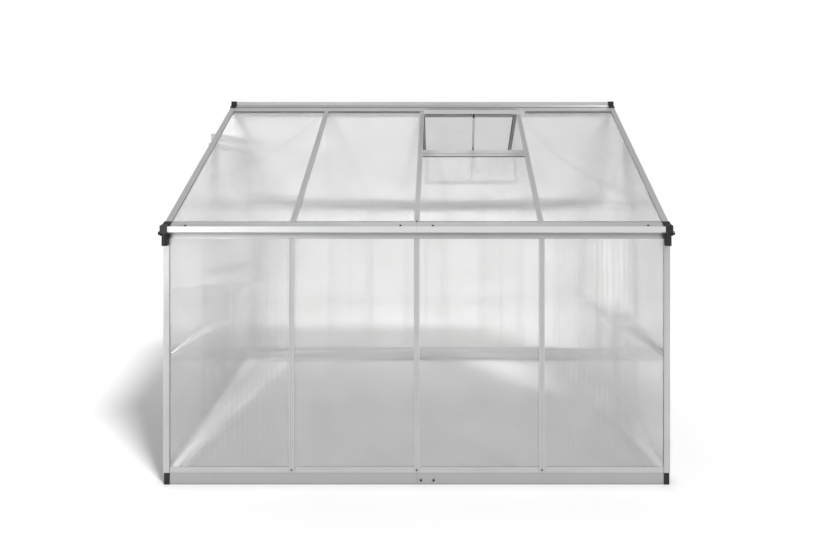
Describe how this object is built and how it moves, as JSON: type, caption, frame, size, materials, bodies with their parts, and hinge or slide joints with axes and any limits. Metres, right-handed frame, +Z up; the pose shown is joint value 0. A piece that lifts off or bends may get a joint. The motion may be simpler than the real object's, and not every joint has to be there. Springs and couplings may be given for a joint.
{
  "type": "gabled garden greenhouse",
  "caption": "Walk-in gabled garden greenhouse: aluminium frame on a low steel base, translucent twin-wall sheets, eave gutters, an open roof vent on a stay and a sliding gable door.",
  "frame": {"origin": "on the ground, at the centre of the house footprint", "axes": "+X along the ridge, towards the gable without the door; +Y across the house, away from the side with the roof vent; +Z up"},
  "size_m": [2.4924, 1.964, 1.9509],
  "materials": {
    "aluminium": "mill-finish extrusions, satin",
    "galvanised_steel": "galvanised and painted light grey, satin",
    "polycarbonate": "translucent twin-wall sheet with fine flutes",
    "black_plastic": "moulded, semi-matt",
    "dark_bolts": "blackened",
    "plated_steel": "zinc plated",
    "roller_nylon": "moulded nylon"
  },
  "bodies": {
    "frame": {"base_bolts": "dark_bolts", "base_corner_caps": "black_plastic", "base_front": "galvanised_steel", "base_gables": "galvanised_steel", "base_rear": "galvanised_steel", "corner_post_front_left": "aluminium", "corner_post_front_right": "aluminium", "corner_post_rear_left": "aluminium", "corner_post_rear_right": "aluminium", "door_bottom_track": "aluminium", "door_head": "aluminium", "door_posts": "aluminium", "door_track": "aluminium", "eave_gutter_front": "aluminium", "eave_gutter_rear": "aluminium", "frame_bolts": "dark_bolts", "gable_mid_rails_left": "aluminium", "gable_mid_rails_right": "aluminium", "gable_panels_left": "polycarbonate", "gable_panels_right": "polycarbonate", "gable_rafters_left": "aluminium", "gable_rafters_right": "aluminium", "gable_studs": "aluminium", "gutter_end_caps": "black_plastic", "gutter_spouts": "black_plastic", "ridge_beam": "aluminium", "ridge_end_caps": "black_plastic", "roof_bars_front": "aluminium", "roof_bars_rear": "aluminium", "roof_panels_front": "polycarbonate", "roof_panels_rear": "polycarbonate", "sill_front": "aluminium", "sill_rear": "aluminium", "sills_gable": "aluminium", "splice_plates": "galvanised_steel", "stay_peg": "aluminium", "studs_front": "aluminium", "studs_rear": "aluminium", "track_end_strut": "aluminium", "vent_cross_bar": "aluminium", "wall_panels_front": "polycarbonate", "wall_panels_rear": "polycarbonate"},
    "vent_sash": {"sash_bottom_rail": "aluminium", "sash_panel": "polycarbonate", "sash_side_rails": "aluminium", "sash_top_rail": "aluminium", "stay_bracket": "black_plastic", "stay_pivot_pin": "plated_steel"},
    "vent_stay": {"stay_bar": "aluminium"},
    "door": {"door_axles": "plated_steel", "door_bottom_rail": "aluminium", "door_guides": "black_plastic", "door_handle": "black_plastic", "door_hangers": "aluminium", "door_mid_rail": "aluminium", "door_panels": "polycarbonate", "door_stiles": "aluminium", "door_top_rail": "aluminium"},
    "door_roller_front": {"door_roller_front": "roller_nylon"},
    "door_roller_rear": {"door_roller_rear": "roller_nylon"}
  },
  "joints": [
    {"name": "vent_hinge", "type": "hinge", "parent": "frame", "child": "vent_sash", "pos_m": [0.30125, -0.07551, 1.88099], "axis": [-1, 0, 0], "range_deg": [-28.6, 11.4]},
    {"name": "stay_pivot", "type": "hinge", "parent": "vent_sash", "child": "vent_stay", "pos_m": [0.30125, -0.47928, 1.80522], "axis": [-1, 0, 0], "range_deg": [-5.8, 14.4]},
    {"name": "door_slide", "type": "slide", "parent": "frame", "child": "door", "axis": [0, 1, 0], "range_m": [0, 0.6]},
    {"name": "roller_front_spin", "type": "hinge", "parent": "door", "child": "door_roller_front", "pos_m": [-1.235, -0.21, 1.70904], "axis": [-1, 0, 0], "range_deg": [-1, 3127]},
    {"name": "roller_rear_spin", "type": "hinge", "parent": "door", "child": "door_roller_rear", "pos_m": [-1.235, 0.21, 1.70904], "axis": [-1, 0, 0], "range_deg": [-1, 3127]}
  ],
  "couplings": [
    {"joint": "stay_pivot", "follows": "vent_hinge", "ratio": -0.5},
    {"joint": "roller_front_spin", "follows": "door_slide", "rad_per_m": 90.909},
    {"joint": "roller_rear_spin", "follows": "door_slide", "rad_per_m": 90.909}
  ]
}
